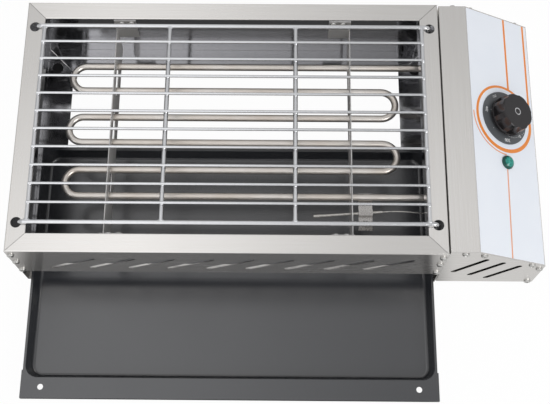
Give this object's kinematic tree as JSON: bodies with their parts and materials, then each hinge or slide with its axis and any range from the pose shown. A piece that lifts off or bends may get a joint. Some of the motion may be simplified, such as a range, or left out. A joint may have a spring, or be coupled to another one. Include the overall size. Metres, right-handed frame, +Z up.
{
  "type": "electric barbecue grill",
  "caption": "Tabletop electric grill: folded steel casing, lift-off wire grate, serpentine heater, pull-out drip tray, side control box with dial.",
  "frame": {"origin": "centre of the footprint of the whole grill with its tray as pictured, on the surface it stands on", "axes": "+X to the control box, +Y to the back, +Z up; the tray pulls out along -Y"},
  "size_m": [0.584, 0.4518, 0.1305],
  "materials": {
    "brushed_sheet": "brushed stainless",
    "plated_steel": "bright zinc plate",
    "chromed_wire": "polished chrome plate",
    "heater_tube": "annealed stainless, warm grey",
    "support_sheet": "stainless, heat tinted",
    "bare_steel": "bright drawn",
    "ceramic": "glazed",
    "tray_enamel": "matte charcoal non-stick coating",
    "foot_rubber": "matte",
    "printed_label": "satin printed film",
    "dial_print": "satin",
    "black_phenolic": "satin moulded",
    "dark_plastic": "matte",
    "lamp_green": "clear moulded, faceted inside",
    "pale_plastic": "matte",
    "brass": "machined"
  },
  "bodies": {
    "casing": {"front_panel": "brushed_sheet", "back_panel": "brushed_sheet", "left_side_panel": "brushed_sheet", "right_side_panel": "brushed_sheet", "front_panel_screws": "plated_steel", "back_panel_screws": "plated_steel", "foot_front_left": "foot_rubber", "foot_back_left": "foot_rubber", "foot_front_right": "foot_rubber", "foot_back_right": "foot_rubber", "heating_element": "heater_tube", "element_bushes": "bare_steel", "element_bush_nuts": "plated_steel", "element_insulators": "ceramic", "element_terminals": "plated_steel", "left_element_support": "support_sheet", "right_element_support": "support_sheet", "support_screws": "plated_steel", "support_nuts": "plated_steel", "probe_clip": "support_sheet", "temperature_probe": "bare_steel", "capillary_tube": "bare_steel", "control_box_shell": "brushed_sheet", "control_box_front_plate": "brushed_sheet", "control_box_back_plate": "brushed_sheet", "control_box_front_screws": "plated_steel", "control_box_back_screws": "plated_steel", "control_box_bottom_cover": "brushed_sheet", "control_box_stay_screws": "plated_steel", "control_box_stay_nuts": "plated_steel", "control_box_spacers": "plated_steel", "panel_label": "printed_label", "dial_plate": "dial_print", "dial_screws": "plated_steel", "thermostat_body": "dark_plastic", "pilot_lamp_lens": "lamp_green", "pilot_lamp_barrel": "dark_plastic", "pilot_lamp_nut": "dark_plastic", "terminal_block": "pale_plastic", "terminal_screws": "brass", "cable_gland": "dark_plastic", "cable_gland_nut": "dark_plastic"},
    "tray": {"drip_tray": "tray_enamel"},
    "grate": {"grate_end_wires": "chromed_wire", "grate_bearers": "chromed_wire", "grate_cross_rods": "chromed_wire"},
    "knob": {"thermostat_knob": "black_phenolic", "thermostat_shaft": "plated_steel"}
  },
  "joints": [
    {"name": "tray_slide", "type": "slide", "parent": "casing", "child": "tray", "axis": [0, -1, 0], "range_m": [-0.1388, 0.15]},
    {"name": "grate_lift", "type": "slide", "parent": "casing", "child": "grate", "axis": [0, 0, 1], "range_m": [0, 0.1]},
    {"name": "knob_turn", "type": "hinge", "parent": "casing", "child": "knob", "pos_m": [0.25256, 0.0818, 0.09764], "axis": [0.5076, 0, 0.8616], "range_deg": [-290, 0]}
  ]
}
